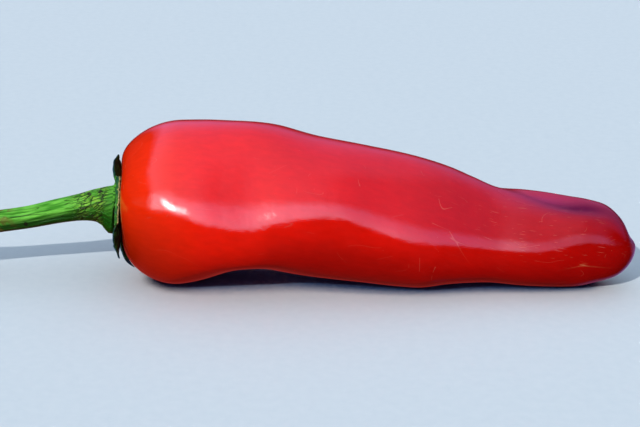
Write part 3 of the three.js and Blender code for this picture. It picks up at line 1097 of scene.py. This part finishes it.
def stalk_material():
    """Green rind with lengthwise streaks and dark lines, painted shade below and round its foot, a
    net of brown cracks between pale scales towards its foot, one dark notch, and a brown end."""
    material, tree, shader = new_material("stalk")
    place = object_place(tree)
    along = attribute(tree, "along")
    streak = noise(tree, skin_place(tree, 0.25, 2.0), 1, 5)
    # The underside, where painted shade darkens the green and dims the pale scales.
    below = step_up(tree, size_of(tree, attribute(tree, "facing")), 66, 112)
    colour = stalk_green_with_painted_shade(tree, streak, along, below)
    line = hairlines(tree, skin_place(tree, 0.13, 1.4, 5.0), 0.02, 0.42)
    colour = blend(tree, product(tree, line, LINE_STRENGTH), colour, STALK_LINE)
    crack, scale = stalk_net(tree, place, along)
    some = step_up(tree, noise(tree, place, 1.4, 2), 0.35, 0.55)
    pale = product(tree, scale, some, scaled(tree, below, -0.6, 1.0), SCALE_STRENGTH)
    colour = blend(tree, pale, colour, STALK_SCALE)
    colour = blend(tree, crack, colour, STALK_CRACK)
    colour = blend(tree, dot_at(tree, *STALK_NOTCH), colour, NOTCH_BROWN)
    patchy = step_up(tree, noise(tree, place, 0.8, 3), 0.45, 0.6)
    end = product(tree, step_up(tree, along, 15.5, 18.0), patchy, END_STRENGTH)
    colour = blend(tree, end, colour, STALK_END)
    tree.links.new(colour, shader.inputs["Base Color"])
    tree.links.new(spread(tree, streak, *STALK_ROUGH), shader.inputs["Roughness"])
    shader.inputs["Specular IOR Level"].default_value = DULL
    height = math_node(tree, "SUBTRACT", math_node(tree, "ADD", streak, scale), line)
    bump(tree, shader, height, 0.9, STALK_BUMP)
    return material


def floor_material():
    """Plain and pale, with a painted contact shadow: darker and bluer where the pod closes it off
    from the sky, and a crisper painted dark line under the shoulder."""
    material, tree, shader = new_material("floor")
    place = object_place(tree)
    colour = blend(tree, noise(tree, place, 0.6, 5), *FLOOR_PALE)
    # Painted contact shadow, by how open the floor is within its reach.
    occlusion = tree.nodes.new("ShaderNodeAmbientOcclusion")
    occlusion.inputs["Distance"].default_value = FLOOR_REACH
    open_sky = occlusion.outputs["AO"]
    colour = blend(tree, fades(tree, open_sky, *FLOOR_SHADE_EDGE), colour, FLOOR_SHADE)
    colour = blend(tree, fades(tree, open_sky, *FLOOR_PAINTED_SHADOW_EDGE), colour, FLOOR_PAINTED_SHADOW)
    shoulder = fades(tree, parts_of(tree, place)[0], *FLOOR_SHADOW_LINE_END)
    line = product(tree, fades(tree, open_sky, *FLOOR_SHADOW_LINE_EDGE), shoulder)
    colour = blend(tree, line, colour, FLOOR_SHADOW_LINE)
    tree.links.new(colour, shader.inputs["Base Color"])
    shader.inputs["Roughness"].default_value = 0.9
    shader.inputs["Specular IOR Level"].default_value = 0.1
    return material


def make_floor():
    """A floor that takes shadows and throws no light back."""
    bpy.ops.mesh.primitive_plane_add(size=FLOOR_SIZE)
    floor = bpy.context.object
    floor.name = "floor"
    floor.data.materials.append(floor_material())
    floor.visible_glossy = False
    floor.visible_diffuse = False


def background(tree, colour):
    """The output of a background of a colour."""
    node = tree.nodes.new("ShaderNodeBackground")
    plug(tree, node.inputs["Color"], colour)
    return node.outputs[0]


def for_rays(tree, kind, usual, special):
    """The background special for the rays of a kind, and usual for all others."""
    node = tree.nodes.new("ShaderNodeMixShader")
    tree.links.new(tree.nodes.new("ShaderNodeLightPath").outputs[kind], node.inputs[0])
    tree.links.new(usual, node.inputs[1])
    tree.links.new(special, node.inputs[2])
    return node.outputs[0]


def make_sky():
    """The studio's soft light: a plain dome, another dome for the gloss to mirror, and a plain
    backdrop for the camera."""
    world = bpy.data.worlds.new("studio")
    world.use_nodes = True
    bpy.context.scene.world = world
    tree = world.node_tree
    x, y, z = parts_of(tree, tree.nodes.new("ShaderNodeTexCoord").outputs["Generated"])
    plain = tree.nodes["Background"]
    plug(tree, plain.inputs["Color"], plain_dome(tree, y, z))
    mirrored = background(tree, mirrored_dome(tree, x, y, z))
    light = for_rays(tree, "Is Glossy Ray", plain.outputs[0], mirrored)
    seen = for_rays(tree, "Is Camera Ray", light, background(tree, (*BACKDROP, 1)))
    tree.links.new(seen, tree.nodes["World Output"].inputs["Surface"])


def plain_dome(tree, y, z):
    """Light for shade: bright overhead, and below the horizon a fill in place of the light that
    the floor in front throws back. z is the sine of the height above the horizon."""
    sky = ramp(tree, z, -1, 1, *SKY_STOPS)
    ground = ramp(tree, z, -1, 1, *GROUND_STOPS)
    lit = ramp(tree, y, -1, 1, *GROUND_DEPTH_STOPS)
    return add(tree, sky, times(tree, ground, lit))


def mirrored_dome(tree, x, y, z):
    """What the gloss mirrors: bands round the X axis, stronger or weaker to the sides, a light on
    the far right and a small window in front."""
    angle = math_node(tree, "DEGREES", math_node(tree, "ARCTAN2", product(tree, y, -1.0), z))
    left = math_node(tree, "MINIMUM", larger(tree, product(tree, x, -1.0), 0.0), BAND_TURN_END)
    bands = ramp(tree, scaled(tree, left, BAND_TURN, angle), -180, 180, *BAND_STOPS)
    leaning = scaled(tree, larger(tree, y, 0.0), SIDE_LEAN, x)
    sides = ramp(tree, leaning, -1.3, 1, *SIDE_STOPS)
    lights = add(tree, times(tree, bands, sides), far_right(tree, x, y, z))
    return add(tree, lights, glint(tree, x, y, z))


def far_right(tree, x, y, z):
    """A bluish light low behind on the right, which rims the blossom end."""
    right = ramp(tree, x, -1, 1, (0.15, BLACK), (0.4, FAR_RIGHT_BLUE))
    back = ramp(tree, y, -1, 1, (0.45, BLACK), (0.75, WHITE))
    low = ramp(tree, z, -1, 1, (-0.3, WHITE), (-0.05, (0.05, 0.05, 0.05)))
    return times(tree, times(tree, right, back), low)


def glint(tree, x, y, z):
    """A small bright window low in front, a little to the left, which leans to the right."""
    across = scaled(tree, x, 1 / GLINT_WIDE, -GLINT_X / GLINT_WIDE)
    level = scaled(tree, x, GLINT_LEAN, z)
    up = scaled(tree, level, 1 / GLINT_TALL, -GLINT_Z / GLINT_TALL)
    wide = math_node(tree, "POWER", across, GLINT_POWER)
    tall = math_node(tree, "POWER", up, GLINT_POWER)
    shine = math_node(tree, "EXPONENT", product(tree, math_node(tree, "ADD", wide, tall), -1.0))
    front = math_node(tree, "LESS_THAN", y, 0.0)
    return grey(tree, product(tree, shine, front, GLINT_STRENGTH))


def make_key():
    """The key light, a sun that casts the shadow and stays out of the gloss."""
    data = bpy.data.lights.new("key", "SUN")
    data.energy = KEY_ENERGY
    data.angle = math.radians(KEY_WIDTH)
    data.color = KEY_COLOUR
    key = bpy.data.objects.new("key", data)
    key.rotation_euler = Vector(KEY_DIRECTION).to_track_quat("Z", "Y").to_euler()
    key.visible_glossy = False
    bpy.context.scene.collection.objects.link(key)


def make_camera():
    """The camera, which looks at its target from the front and above, and is rolled a little."""
    data = bpy.data.cameras.new("camera")
    data.lens = CAMERA_LENS
    camera = bpy.data.objects.new("camera", data)
    elevation = math.radians(CAMERA_ELEVATION)
    back = Vector((0, -math.cos(elevation), math.sin(elevation)))
    camera.location = CAMERA_TARGET + back * CAMERA_DISTANCE
    aim = (-back).to_track_quat("-Z", "Y").to_matrix()
    camera.rotation_euler = (aim @ Matrix.Rotation(math.radians(CAMERA_ROLL), 3, "Z")).to_euler()
    bpy.context.scene.collection.objects.link(camera)
    bpy.context.scene.camera = camera


def dress(piece, node, material):
    """Puts a piece in the place of a CAD node, with its material."""
    piece.data.materials.append(material)
    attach(piece, "root")
    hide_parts(node)


bpy.context.scene.view_settings.view_transform = "Standard"
make_camera()
dress(make_pod(), "pod", skin_material())
dress(make_calyx(), "calyx", calyx_material())
dress(make_stalk(), "stalk", stalk_material())
make_floor()
make_sky()
make_key()
